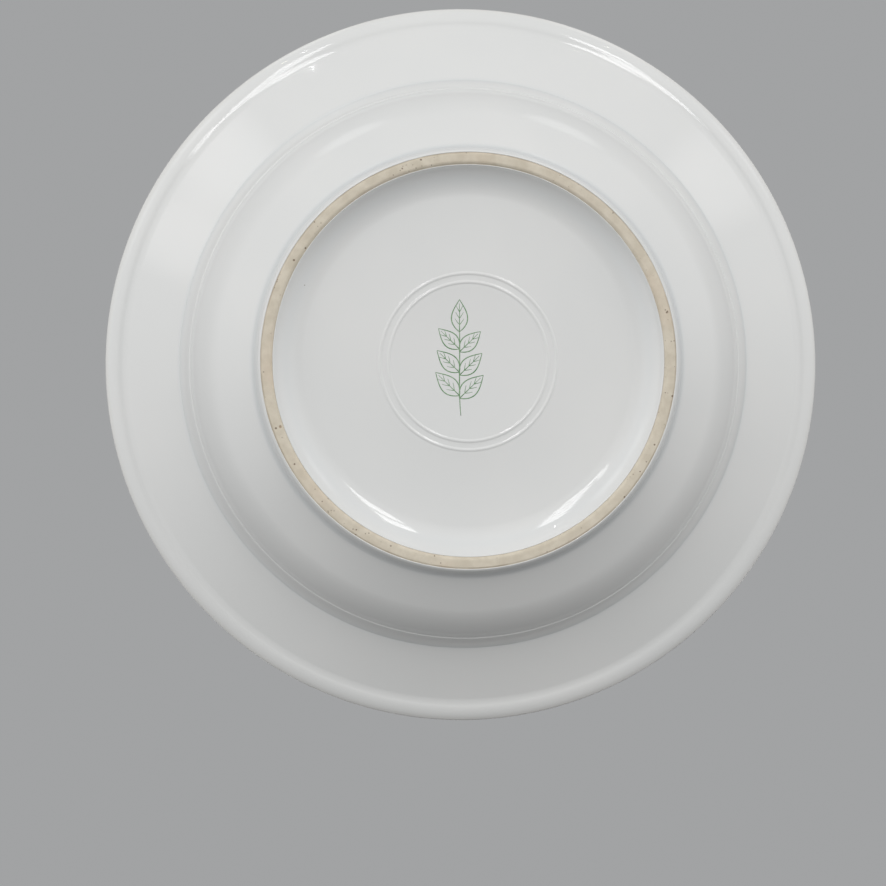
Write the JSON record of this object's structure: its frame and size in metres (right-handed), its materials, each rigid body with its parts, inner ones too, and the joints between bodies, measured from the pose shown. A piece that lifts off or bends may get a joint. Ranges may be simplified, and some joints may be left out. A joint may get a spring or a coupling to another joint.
{
  "type": "serving bowl",
  "caption": "Round white porcelain serving bowl with a wide flange, rolled lip, shoulder band, bare foot ring and a small green leaf print on the base.",
  "frame": {"origin": "centre of the foot ring on the plane that the bowl stands on", "axes": "+Z up along the bowl's axis; +Y is upwards in the green print, +X across it"},
  "size_m": [0.25, 0.25, 0.0465],
  "materials": {
    "bare_porcelain": "bare fired porcelain, fine dry grain, warm grey-beige with a few brown specks",
    "outer_glaze": "glossy clear glaze over cool white porcelain",
    "base_glaze": "glossy clear glaze over cool white porcelain",
    "green_print": "thin green print in the glaze"
  },
  "bodies": {
    "root": {"porcelain_body": "bare_porcelain", "outer_glaze": "outer_glaze", "base_glaze": "base_glaze", "leaf_mark": "green_print"}
  },
  "joints": []
}
